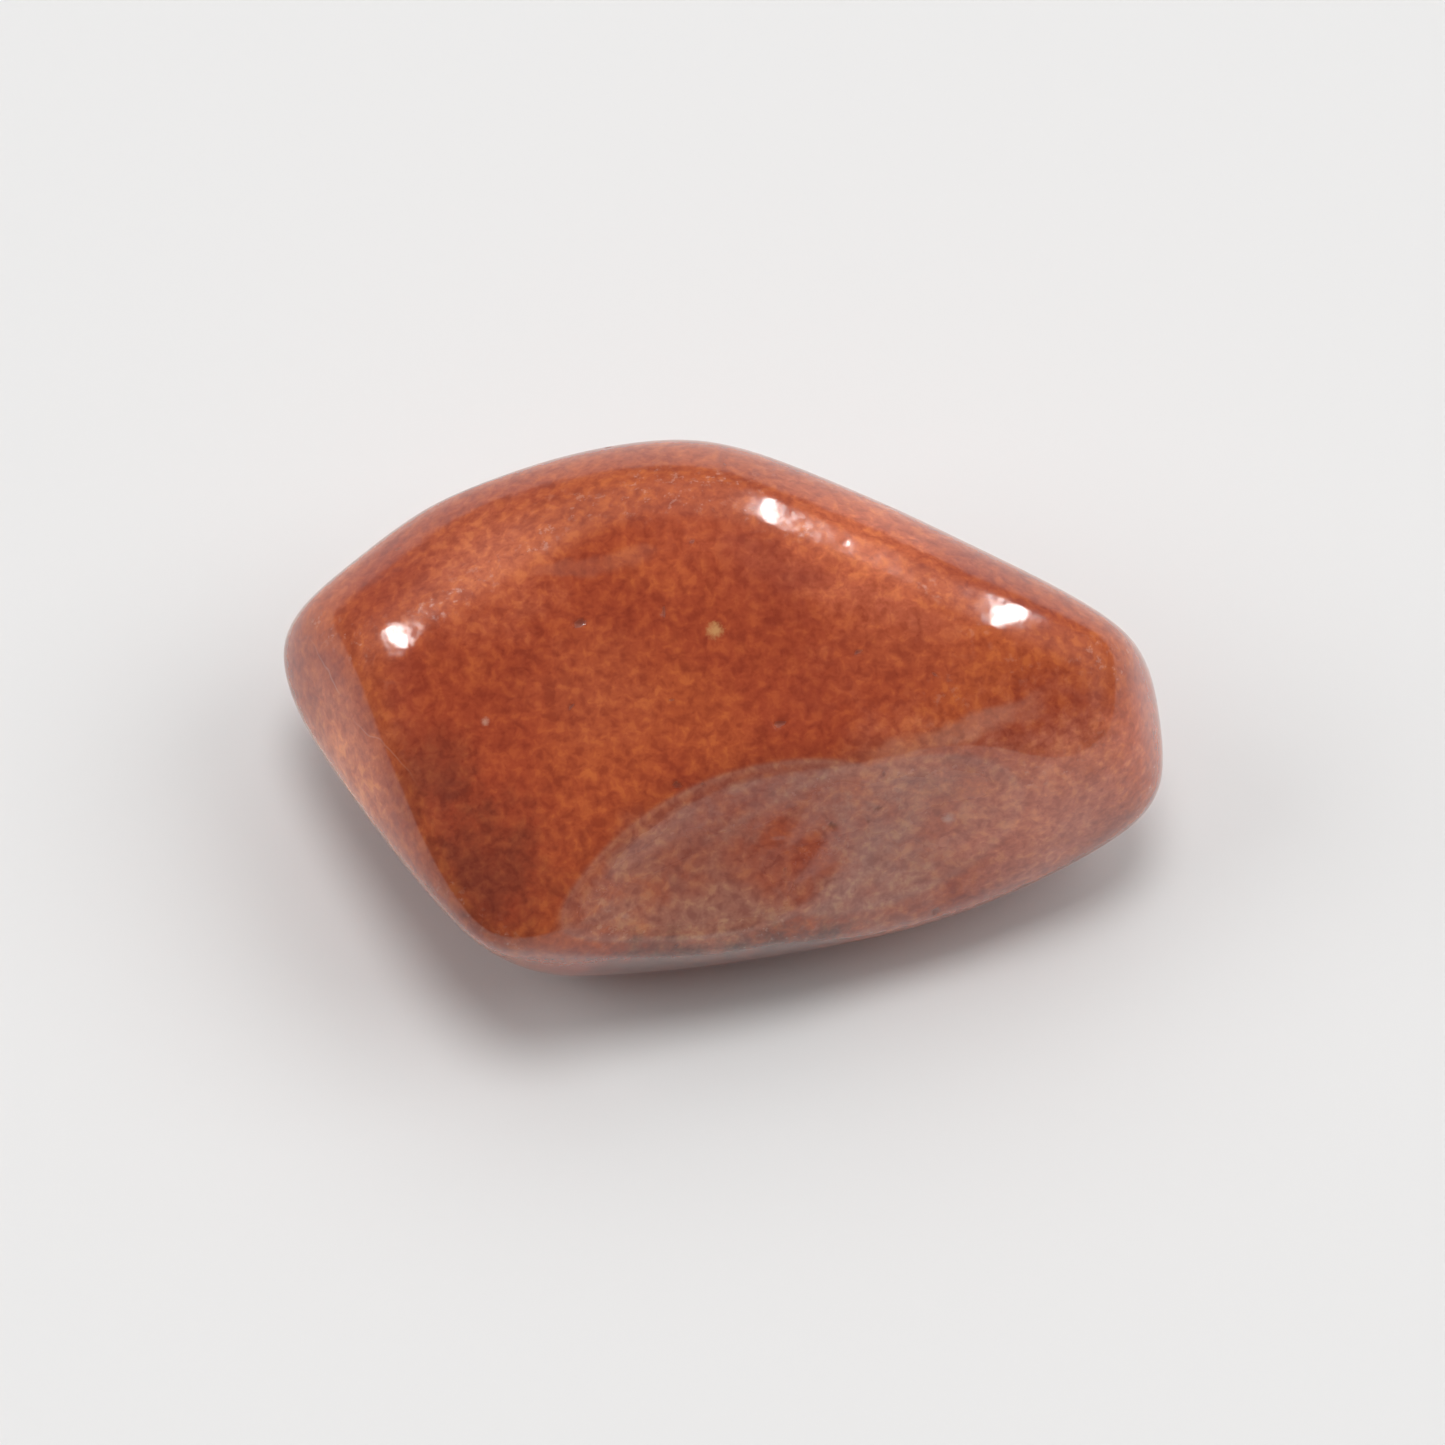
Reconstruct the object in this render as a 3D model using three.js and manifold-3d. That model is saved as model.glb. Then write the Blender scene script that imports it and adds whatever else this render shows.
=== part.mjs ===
// A tumbled, polished chip of red jasper, in millimetres, +Z up.
// It lies on its broadest worn face, with its length along X and its crown leaning towards -Y.
// The stone is one solid: worn, slightly bulging facets that meet in softened ridges, with a few shallow
// shell-shaped scars where flakes broke off before it was tumbled.
// The origin is the middle of its outline on the surface that it rests on.
import * as THREE from "three";
import { mergeVertices } from "three/addons/utils/BufferGeometryUtils.js";
import Module from "manifold-3d";

// How far the tumbling has softened the ridges between facets
const RIDGE_WEAR = 0.2;

// Height of the heart, the inner point that the facets are measured from
const HEART_HEIGHT = 2.7;

// Each facet faces some degrees round from +X and some degrees up, at a distance from the heart.
// It bulges a little, as part of a ball whose radius is its bow.
const FACETS = {
  crown: { round: -110, up: 73, away: 2.4, bow: 60 },
  leftShoulder: { round: 141, up: 59, away: 3.82, bow: 80 },
  rightShoulder: { round: 62, up: 58, away: 3.63, bow: 40 },
  crest: { round: 100, up: 57, away: 3.83, bow: 40 },
  leftEnd: { round: 168, up: 20, away: 6.6, bow: 40 },
  rightEnd: { round: -4, up: 18, away: 6.2, bow: 40 },
  rightCorner: { round: -38, up: 8, away: 5.92, bow: 40 },
  front: { round: -72, up: 11, away: 3.5, bow: 40 },
  frontBrow: { round: -70, up: 50, away: 3.34, bow: 40 },
  frontWall: { round: -82, up: -12, away: 3.63, bow: 40 },
  frontLeft: { round: -152, up: 23, away: 5.02, bow: 40 },
  back: { round: 99, up: 10, away: 4.06, bow: 40 },
  backLeft: { round: 124, up: 8, away: 5.02, bow: 40 },
  backRight: { round: 66, up: 12, away: 3.66, bow: 40 },
  frontUnder: { round: -82, up: -48, away: 3.53, bow: 40 },
  frontRightUnder: { round: -60, up: -50, away: 3.92, bow: 40 },
  frontLeftUnder: { round: -138, up: -27, away: 4.58, bow: 40 },
  leftUnder: { round: 174, up: -46, away: 5.2, bow: 40 },
  rightUnder: { round: -20, up: -48, away: 5.35, bow: 40 },
  backUnder: { round: 98, up: -44, away: 3.4, bow: 40 },
  backRightUnder: { round: 48, up: -30, away: 4.3, bow: 40 },
  base: { round: 0, up: -90, away: 2.82, bow: 100 },
};

// Each scar is the hollow of a ball, placed from the heart, with its rim worn round
const SCARS = {
  frontScar: { ball: [4.1, -7.6, 3.4], radius: 6.3, rimWear: 0.35 },
  frontLeftScar: { ball: [1.15, -7.5, 4.85], radius: 6.48, rimWear: 0.3 },
  backScar: { ball: [-4.2, 8.0, -0.9], radius: 5.0, rimWear: 0.6 },
  rightBackScar: { ball: [7.6, 4.9, 2.2], radius: 3.6, rimWear: 0.4 },
};

// The starting cube has this many squares along each edge
const SQUARES = 26;

// No point of the stone is further from the heart than this
const FARTHEST = 9.0;

// Halvings that find the surface along a ray to well under a micrometre
const HALVINGS = 30;

const wasm = await Module();
wasm.setup();

function facetNormal({ round, up }) {
  const a = THREE.MathUtils.degToRad(round);
  const e = THREE.MathUtils.degToRad(up);
  return new THREE.Vector3(Math.cos(e) * Math.cos(a), Math.cos(e) * Math.sin(a), Math.sin(e));
}

const facetBalls = Object.values(FACETS).map((facet) => {
  const middle = facetNormal(facet).multiplyScalar(facet.away - facet.bow);
  return new THREE.Sphere(middle, facet.bow);
});

const scarBalls = Object.values(SCARS).map(({ ball, radius, rimWear }) => ({
  hollow: new THREE.Sphere(new THREE.Vector3(...ball), radius),
  rimWear,
}));

// Height above the facets, positive outside, with the ridges rounded by a soft maximum
function heightAboveFacets(point) {
  const heights = facetBalls.map((ball) => ball.distanceToPoint(point) / RIDGE_WEAR);
  const highest = Math.max(...heights);
  const sum = heights.reduce((total, height) => total + Math.exp(height - highest), 0);
  return RIDGE_WEAR * (highest + Math.log(sum));
}

// Height above the whole surface: a scar takes away what lies inside its ball
function heightAboveSurface(point) {
  return scarBalls.reduce((height, { hollow, rimWear }) => {
    const insideBall = -hollow.distanceToPoint(point);
    const overlap = Math.max(rimWear - Math.abs(height - insideBall), 0) / rimWear;
    return Math.max(height, insideBall) + (overlap * overlap * rimWear) / 4;
  }, heightAboveFacets(point));
}

// Distance from the heart to the surface in one direction
function reach(direction) {
  let near = 0;
  let far = FARTHEST;
  const point = new THREE.Vector3();
  for (let i = 0; i < HALVINGS; i += 1) {
    const middle = (near + far) / 2;
    point.copy(direction).multiplyScalar(middle);
    if (heightAboveSurface(point) < 0) {
      near = middle;
    } else {
      far = middle;
    }
  }
  return (near + far) / 2;
}

// A cube's corners moved out to the stone's surface, along rays at even angles
function wornStone() {
  const cube = new THREE.BoxGeometry(2, 2, 2, SQUARES, SQUARES, SQUARES);
  cube.deleteAttribute("normal");
  cube.deleteAttribute("uv");
  const stone = mergeVertices(cube);
  const corners = stone.getAttribute("position");
  const evenAngle = (value) => Math.tan((value * Math.PI) / 4);
  const direction = new THREE.Vector3();
  for (let i = 0; i < corners.count; i += 1) {
    direction.fromBufferAttribute(corners, i);
    direction.set(evenAngle(direction.x), evenAngle(direction.y), evenAngle(direction.z)).normalize();
    direction.multiplyScalar(reach(direction));
    corners.setXYZ(i, direction.x, direction.y, direction.z);
  }
  return stone;
}

// Everything under the resting face, as a block
function blockUnderRest() {
  const size = 2 * FARTHEST;
  const block = new THREE.BoxGeometry(size, size, size);
  block.translate(0, 0, -HEART_HEIGHT - size / 2);
  block.deleteAttribute("normal");
  block.deleteAttribute("uv");
  return mergeVertices(block);
}

function toSolid(geometry) {
  return new wasm.Manifold(
    new wasm.Mesh({
      numProp: 3,
      vertProperties: new Float32Array(geometry.getAttribute("position").array),
      triVerts: new Uint32Array(geometry.index.array),
    }),
  );
}

function toGeometry(solid) {
  const mesh = solid.getMesh();
  const geometry = new THREE.BufferGeometry();
  geometry.setAttribute("position", new THREE.BufferAttribute(mesh.vertProperties, 3));
  geometry.setIndex(new THREE.BufferAttribute(mesh.triVerts, 1));
  geometry.computeVertexNormals();
  return geometry;
}

// The stone, cut off flat where it rests
function restingStone() {
  return toGeometry(toSolid(wornStone()).subtract(toSolid(blockUnderRest())));
}

// Moves a shape so that the middle of its box's underside is the origin
function standOnOrigin(geometry) {
  geometry.computeBoundingBox();
  const { min, max } = geometry.boundingBox;
  return geometry.translate(-(min.x + max.x) / 2, -(min.y + max.y) / 2, -min.z);
}

function polishedJasper() {
  return new THREE.MeshStandardMaterial({ color: 0xa5482c, roughness: 0.12, metalness: 0 });
}

function jasperChip() {
  const chip = new THREE.Mesh(standOnOrigin(restingStone()), polishedJasper());
  chip.name = "jasper_chip";
  return chip;
}

const stone = new THREE.Group();
stone.add(jasperChip());

export default stone;
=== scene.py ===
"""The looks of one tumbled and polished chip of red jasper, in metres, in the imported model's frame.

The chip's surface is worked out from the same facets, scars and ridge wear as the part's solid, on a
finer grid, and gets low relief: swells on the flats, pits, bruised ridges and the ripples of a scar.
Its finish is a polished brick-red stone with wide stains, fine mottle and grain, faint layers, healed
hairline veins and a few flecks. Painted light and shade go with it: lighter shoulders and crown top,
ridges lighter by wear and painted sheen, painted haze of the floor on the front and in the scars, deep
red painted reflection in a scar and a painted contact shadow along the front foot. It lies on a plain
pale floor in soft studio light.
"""

import logging
import math
from dataclasses import dataclass, field
from enum import Enum
from functools import reduce

import bpy
import numpy as np
from mathutils import Matrix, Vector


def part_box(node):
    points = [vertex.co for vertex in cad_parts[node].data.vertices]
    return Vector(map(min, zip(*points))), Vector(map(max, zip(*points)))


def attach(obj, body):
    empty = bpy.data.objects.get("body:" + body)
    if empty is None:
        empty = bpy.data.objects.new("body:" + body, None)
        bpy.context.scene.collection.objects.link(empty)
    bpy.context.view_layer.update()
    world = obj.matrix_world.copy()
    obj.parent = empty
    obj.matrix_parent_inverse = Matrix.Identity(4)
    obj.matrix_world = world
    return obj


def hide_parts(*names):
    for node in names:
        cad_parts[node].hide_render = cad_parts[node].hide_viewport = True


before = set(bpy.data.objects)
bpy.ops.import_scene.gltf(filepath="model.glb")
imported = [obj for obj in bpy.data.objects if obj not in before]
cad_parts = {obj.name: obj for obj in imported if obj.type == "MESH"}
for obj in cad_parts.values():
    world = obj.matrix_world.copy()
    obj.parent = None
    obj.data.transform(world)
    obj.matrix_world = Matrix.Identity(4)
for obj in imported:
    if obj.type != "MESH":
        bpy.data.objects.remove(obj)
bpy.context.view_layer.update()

log = logging.getLogger("jasper_chip")

# One millimetre in metres
MM = 0.001

Colour = tuple[float, float, float]
Point = tuple[float, float, float]


# Shape of the stone, in millimetres from its heart


def bearing_vector(turn: float, up: float) -> np.ndarray:
    """Unit vector that points some degrees round from +X and some degrees above level.

    Args:
        turn: degrees round from +X, towards +Y.
        up: degrees above level.

    Returns:
        The vector (cos up cos turn, cos up sin turn, sin up).
    """
    a, e = math.radians(turn), math.radians(up)
    return np.array([math.cos(e) * math.cos(a), math.cos(e) * math.sin(a), math.sin(e)])


def smooth_rise(values: np.ndarray, low: float, high: float) -> np.ndarray:
    """Soft step from 0 to 1, three t squared less two t cubed.

    Args:
        values: numbers of any shape.
        low: where the rise starts.
        high: where it ends.

    Returns:
        The step's height for each number.
    """
    t = np.clip((values - low) / (high - low), 0.0, 1.0)
    return t * t * (3.0 - 2.0 * t)


@dataclass(frozen=True)
class Facet:
    """A worn flat that faces turn and up, in degrees, away millimetres from the heart.

    It bulges a little, as part of a ball whose radius is its bow.
    """

    turn: float
    up: float
    away: float
    bow: float = 40.0

    def height(self, points: np.ndarray) -> np.ndarray:
        """Distance from the middle of the facet's ball, less its radius.

        Args:
            points: places in millimetres, shape (n, 3).

        Returns:
            Height of each point above the facet.
        """
        middle = bearing_vector(self.turn, self.up) * (self.away - self.bow)
        return np.linalg.norm(points - middle, axis=1) - self.bow


@dataclass(frozen=True)
class Scar:
    """The hollow of a ball, placed from the heart, with its rim worn round."""

    ball: Point
    radius: float
    rim_wear: float

    def depth(self, points: np.ndarray) -> np.ndarray:
        """The ball's radius, less the distance from its middle.

        Args:
            points: places in millimetres, shape (n, 3).

        Returns:
            How far inside the ball each point is.
        """
        return self.radius - np.linalg.norm(points - np.array(self.ball), axis=1)


def stone_facets() -> dict[str, Facet]:
    """The worn flats by name, as in the part's source."""
    return {
        "crown": Facet(-110, 73, 2.4, 60.0),
        "left_shoulder": Facet(141, 59, 3.82, 80.0),
        "right_shoulder": Facet(62, 58, 3.63),
        "crest": Facet(100, 57, 3.83),
        "left_end": Facet(168, 20, 6.6),
        "right_end": Facet(-4, 18, 6.2),
        "right_corner": Facet(-38, 8, 5.92),
        "front": Facet(-72, 11, 3.5),
        "front_brow": Facet(-70, 50, 3.34),
        "front_wall": Facet(-82, -12, 3.63),
        "front_left": Facet(-152, 23, 5.02),
        "back": Facet(99, 10, 4.06),
        "back_left": Facet(124, 8, 5.02),
        "back_right": Facet(66, 12, 3.66),
        "front_under": Facet(-82, -48, 3.53),
        "front_right_under": Facet(-60, -50, 3.92),
        "front_left_under": Facet(-138, -27, 4.58),
        "left_under": Facet(174, -46, 5.2),
        "right_under": Facet(-20, -48, 5.35),
        "back_under": Facet(98, -44, 3.4),
        "back_right_under": Facet(48, -30, 4.3),
        "base": Facet(0, -90, 2.82, 100.0),
    }


def stone_scars() -> dict[str, Scar]:
    """The hollows where flakes broke off, by name, as in the part's source."""
    return {
        "front_scar": Scar((4.1, -7.6, 3.4), 6.3, 0.35),
        "front_left_scar": Scar((1.15, -7.5, 4.85), 6.48, 0.3),
        "back_scar": Scar((-4.2, 8.0, -0.9), 5.0, 0.6),
        "right_back_scar": Scar((7.6, 4.9, 2.2), 3.6, 0.4),
    }


@dataclass(frozen=True)
class TumbledForm:
    """The stone's form as a height above its surface, positive outside it.

    The heart is the inner point that everything is measured from, and no point of the stone is further
    from it than farthest.
    """

    ridge_wear: float = 0.2
    heart_height: float = 2.7
    farthest: float = 9.0
    halvings: int = 30
    facets: dict[str, Facet] = field(default_factory=stone_facets)
    scars: dict[str, Scar] = field(default_factory=stone_scars)

    def _above_facets(self, points: np.ndarray) -> tuple[np.ndarray, np.ndarray]:
        """The two terms of the soft maximum of the heights above the facets, in ridge wears.

        Args:
            points: places in millimetres, shape (n, 3).

        Returns:
            The highest, and the log of the summed exponentials of all of them less the highest.
        """
        heights = [facet.height(points) for facet in self.facets.values()]
        terms = np.stack(heights, axis=1) / self.ridge_wear
        highest = terms.max(axis=1)
        return highest, np.log(np.exp(terms - highest[:, None]).sum(axis=1))

    def height_above_facets(self, points: np.ndarray) -> np.ndarray:
        """Soft maximum of the heights above the facets, the ridge wear times the sum of its two terms.

        Args:
            points: places in millimetres, shape (n, 3).

        Returns:
            Height of each point.
        """
        highest, added = self._above_facets(points)
        return self.ridge_wear * (highest + added)

    def ridge_share(self, points: np.ndarray) -> np.ndarray:
        """Nearness to a ridge: 0 on a flat, 1 midway between two facets, more at a corner.

        Args:
            points: places in millimetres, shape (n, 3).

        Returns:
            What the other facets add to the highest, in parts of log 2.
        """
        return self._above_facets(points)[1] / math.log(2.0)

    def rim_share(self, points: np.ndarray) -> np.ndarray:
        """Nearness to the rim of a scar: 0 away from it, 1 at the rim.

        Args:
            points: places in millimetres, shape (n, 3).

        Returns:
            One less the smallest gap between facets and scar, in parts of the rim's wear.
        """
        height = self.height_above_facets(points)
        gaps = [np.abs(height - scar.depth(points)) / scar.rim_wear for scar in self.scars.values()]
        return np.clip(1.0 - np.min(gaps, axis=0), 0.0, 1.0)

    def height(self, points: np.ndarray) -> np.ndarray:
        """Height above the whole surface, which the scars cut softly and the resting face sharply.

        A scar's cut is the larger of two heights plus a quarter of the rim's wear times the square of
        their overlap.

        Args:
            points: places in millimetres, shape (n, 3).

        Returns:
            Height of each point.
        """
        height = self.height_above_facets(points)
        for scar in self.scars.values():
            inside = scar.depth(points)
            overlap = np.maximum(scar.rim_wear - np.abs(height - inside), 0.0) / scar.rim_wear
            height = np.maximum(height, inside) + overlap**2 * scar.rim_wear / 4.0
        return np.maximum(height, -points[:, 2] - self.heart_height)

    def scar_share(self, points: np.ndarray, name: str) -> np.ndarray:
        """Where a scar is the surface: 0 outside its rim, 1 well inside.

        Args:
            points: places on the surface in millimetres, shape (n, 3).
            name: the scar's name.

        Returns:
            A soft step of how far the ball's surface stands above the facets.
        """
        scar = self.scars[name]
        return smooth_rise(scar.depth(points) - self.height_above_facets(points), 0.0, scar.rim_wear)

    def on_surface(self, directions: np.ndarray) -> np.ndarray:
        """Points where rays from the heart leave the stone, found by halving.

        Args:
            directions: unit vectors, shape (n, 3).

        Returns:
            One point for each direction.
        """
        near = np.zeros(len(directions))
        far = np.full(len(directions), self.farthest)
        for _ in range(self.halvings):
            middle = (near + far) / 2.0
            inside = self.height(directions * middle[:, None]) < 0.0
            near = np.where(inside, middle, near)
            far = np.where(inside, far, middle)
        return directions * ((near + far) / 2.0)[:, None]


def grid_squares(numbers: np.ndarray) -> np.ndarray:
    """The squares between the points of one grid, or of a stack of grids.

    Args:
        numbers: the number of each point, with the grid's two parameters along the last two axes.

    Returns:
        The four corner numbers of each square, shape (m, 4).
    """
    near, far = numbers[..., :-1, :], numbers[..., 1:, :]
    corners = (near[..., :-1], far[..., :-1], far[..., 1:], near[..., 1:])
    return np.stack([corner.ravel() for corner in corners], axis=1)


class CubeSide(Enum):
    """The six sides of the cube that the rays start from: the axis that a side faces, and its end."""

    RIGHT = (0, 1)
    LEFT = (0, -1)
    BACK = (1, 1)
    FRONT = (1, -1)
    TOP = (2, 1)
    UNDERSIDE = (2, -1)


@dataclass(frozen=True)
class CubeGrid:
    """Six square grids of rays that share their edges, so that the skin closes with no seam or pole."""

    squares: int = 128

    def side(self, side: CubeSide) -> np.ndarray:
        """Whole-number places of one side's grid points, with its two parameters along the other axes.

        Args:
            side: which side of the cube.

        Returns:
            Shape (squares + 1, squares + 1, 3), turned so that the grid faces outward.
        """
        axis, end = side.value
        steps = np.arange(self.squares + 1)
        first, second = np.meshgrid(steps, steps, indexing="ij")
        places = np.empty((*first.shape, 3), dtype=np.int64)
        places[..., axis] = self.squares if end > 0 else 0
        places[..., (axis + 1) % 3] = first if end > 0 else second
        places[..., (axis + 2) % 3] = second if end > 0 else first
        return places

    def skin(self) -> tuple[np.ndarray, np.ndarray]:
        """Rays at even angles, by the tangent of v times 45 degrees, and the squares between them.

        Returns:
            Unit vectors, shape (n, 3), and the four corner numbers of each square, shape (m, 4).
        """
        places = np.stack([self.side(side) for side in CubeSide])
        count = self.squares + 1
        codes = (places[..., 0] * count + places[..., 1]) * count + places[..., 2]
        unique, numbers = np.unique(codes, return_inverse=True)
        even = np.tan((2.0 * np.arange(count) / self.squares - 1.0) * math.pi / 4.0)
        steps = (unique // count**2, unique // count % count, unique % count)
        rays = np.stack([even[step] for step in steps], axis=1)
        rays /= np.linalg.norm(rays, axis=1, keepdims=True)
        return rays, grid_squares(numbers.reshape(codes.shape))


@dataclass(frozen=True)
class Swells:
    """Low uneven waves that tumbling leaves on the flats, between two wavelengths in millimetres."""

    count: int = 14
    shortest: float = 1.5
    longest: float = 5.5
    slope: float = 0.011
    seed: int = 7

    def lift(self, points: np.ndarray) -> np.ndarray:
        """Sum of sine waves, slope times wavelength over two pi high, along seeded directions.

        Args:
            points: places in millimetres, shape (n, 3).

        Returns:
            Height of the waves at each point, in millimetres.
        """
        draw = np.random.default_rng(self.seed)
        lengths = self.shortest * (self.longest / self.shortest) ** draw.random(self.count)
        along = draw.normal(size=(self.count, 3))
        along /= np.linalg.norm(along, axis=1, keepdims=True)
        starts = draw.random(self.count)
        phase = points @ (along / lengths[:, None]).T + starts
        return (np.sin(2.0 * math.pi * phase) * self.slope * lengths / (2.0 * math.pi)).sum(axis=1)


class Place(Enum):
    """Where small losses sit on the stone."""

    ANYWHERE = "anywhere"
    RIDGES = "ridges"


@dataclass(frozen=True)
class SmallLosses:
    """Small hollows of one kind, such as pits in the stone or bruises on its ridges.

    Radii run from narrowest to widest, in millimetres, and the more smallness, the more of them are
    narrow. Stretch and wobble make the outlines uneven. Of the tries drawn for each hollow, those
    within the clearance of the resting face are dropped. Only points within the search, in radii, are
    looked at.
    """

    place: Place
    count: int
    narrowest: float
    widest: float
    depth_share: float
    seed: int
    wobble: float = 0.25
    wobble_rate: float = 2.6
    wobble_shift: float = 9.0
    tries: int = 30
    clearance: float = 0.2
    near_ridge: float = 0.75
    smallness: float = 1.8
    stretch: float = 0.35
    search: float = 2.0
    full_at: float = 0.6

    def centres(self, form: TumbledForm, draw: np.random.Generator) -> np.ndarray:
        """Seeded places on the surface, the first ones that lie where the losses belong.

        Args:
            form: the stone's form.
            draw: the seeded source of random numbers.

        Returns:
            Shape (count, 3), in millimetres.
        """
        rays = draw.normal(size=(self.count * self.tries, 3))
        spots = form.on_surface(rays / np.linalg.norm(rays, axis=1, keepdims=True))
        spots = spots[spots[:, 2] > self.clearance - form.heart_height]
        if self.place is Place.RIDGES:
            spots = spots[form.ridge_share(spots) > self.near_ridge]
        return spots[: self.count]

    def share(self, points: np.ndarray, form: TumbledForm) -> tuple[np.ndarray, np.ndarray]:
        """Depth of the hollows: the deepest times one less the squared distance in radii.

        Args:
            points: places on the surface in millimetres, shape (n, 3).
            form: the stone's form.

        Returns:
            Depth at each point in millimetres, and how far inside a hollow it is, from 0 to 1.
        """
        draw = np.random.default_rng(self.seed)
        centres = self.centres(form, draw)
        sizes = draw.random(len(centres)) ** self.smallness
        radii = self.narrowest * (self.widest / self.narrowest) ** sizes
        pulls = draw.normal(size=(len(centres), 3)) * self.stretch
        depth = np.zeros(len(points))
        inside = np.zeros(len(points))
        for centre, radius, pull in zip(centres, radii, pulls):
            near = np.abs(points - centre).max(axis=1) < self.search * radius
            way = (points[near] - centre) / radius
            waves = np.sin(self.wobble_rate * way[:, [1, 2, 0]] + self.wobble_shift * pull)
            way = (way + self.wobble * waves) * (1.0 + pull)
            bowl = np.clip(1.0 - (way**2).sum(axis=1), 0.0, 1.0)
            depth[near] = np.maximum(depth[near], bowl * radius * self.depth_share)
            inside[near] = np.maximum(inside[near], smooth_rise(bowl, 0.0, self.full_at))
        return depth, inside


@dataclass(frozen=True)
class ScarRipples:
    """Faint shell-shaped waves that a breaking flake leaves in its scar, round the point of the blow.

    They start about their spacing apart, and crowd together further out.
    """

    scar: str = "front_scar"
    blow: Point = (-0.6, -1.2, 1.9)
    spacing: float = 0.75
    crowding: float = 1.15
    height: float = 0.008

    def lift(self, points: np.ndarray, form: TumbledForm) -> np.ndarray:
        """Sine waves of a power of the distance from the blow, fading outside the scar.

        Args:
            points: places on the surface in millimetres, shape (n, 3).
            form: the stone's form.

        Returns:
            Height of the ripples at each point, in millimetres.
        """
        distance = np.linalg.norm(points - np.array(self.blow), axis=1)
        turns = (distance / self.spacing) ** self.crowding
        return self.height * np.sin(2.0 * math.pi * turns) * form.scar_share(points, self.scar)


# Shader maths

# The number that a noise lies about
NOISE_MIDDLE = 0.5


class Blend(Enum):
    """How one colour goes over another, by Blender's name."""

    LAID = "MIX"
    MULTIPLIED = "MULTIPLY"


@dataclass(frozen=True)
class Noise:
    """A cloudy pattern with blots of about one size, in millimetres.

    Its detail is how many finer layers it has, its rough how strong they are, and its warp how far the
    whole is distorted.
    """

    size: float
    detail: float = 2.0
    rough: float = 0.5
    warp: float = 0.0


class Link:
    """One output of a node, for use in Python expressions that add Math nodes."""

    def __init__(self, bench: "Bench", socket: bpy.types.NodeSocket | None) -> None:
        """Keeps the socket and the bench that adds further nodes."""
        self.bench = bench
        self.socket = socket

    def math(self, operation: str, *values: "Link | float") -> "Link":
        """Adds a Math node.

        Args:
            operation: Blender's name of the operation.
            values: its inputs in order.

        Returns:
            The node's result.
        """
        return self.bench.node("ShaderNodeMath", {"operation": operation}, dict(enumerate(values)))

    def __add__(self, other: "Link | float") -> "Link":
        """Sum."""
        return self.math("ADD", self, other)

    def __radd__(self, other: float) -> "Link":
        """Sum with a number on the left."""
        return self.math("ADD", other, self)

    def __sub__(self, other: "Link | float") -> "Link":
        """Difference."""
        return self.math("SUBTRACT", self, other)

    def __rsub__(self, other: float) -> "Link":
        """Difference from a number."""
        return self.math("SUBTRACT", other, self)

    def __mul__(self, other: "Link | float") -> "Link":
        """Product."""
        return self.math("MULTIPLY", self, other)

    def __rmul__(self, other: float) -> "Link":
        """Product with a number on the left."""
        return self.math("MULTIPLY", other, self)

    def __abs__(self) -> "Link":
        """Size without sign."""
        return self.math("ABSOLUTE", self)

    def larger(self, other: "Link") -> "Link":
        """The larger of two numbers."""
        return self.math("MAXIMUM", self, other)

    def mixed(self, other: float, share: "Link") -> "Link":
        """This number times one less the share, plus the other times the share."""
        return self * (1.0 - share) + share * other

    def rise(self, low: float, high: float) -> "Link":
        """Soft step.

        Args:
            low: where the step starts, at 0.
            high: where it ends, at 1, and less than low for a falling step.

        Returns:
            The step's height.
        """
        sockets = {
            "Value": self,
            "From Min": min(low, high),
            "From Max": max(low, high),
            "To Min": 0.0 if low <= high else 1.0,
            "To Max": 1.0 if low <= high else 0.0,
        }
        return self.bench.node("ShaderNodeMapRange", {"interpolation_type": "SMOOTHSTEP"}, sockets)


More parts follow.
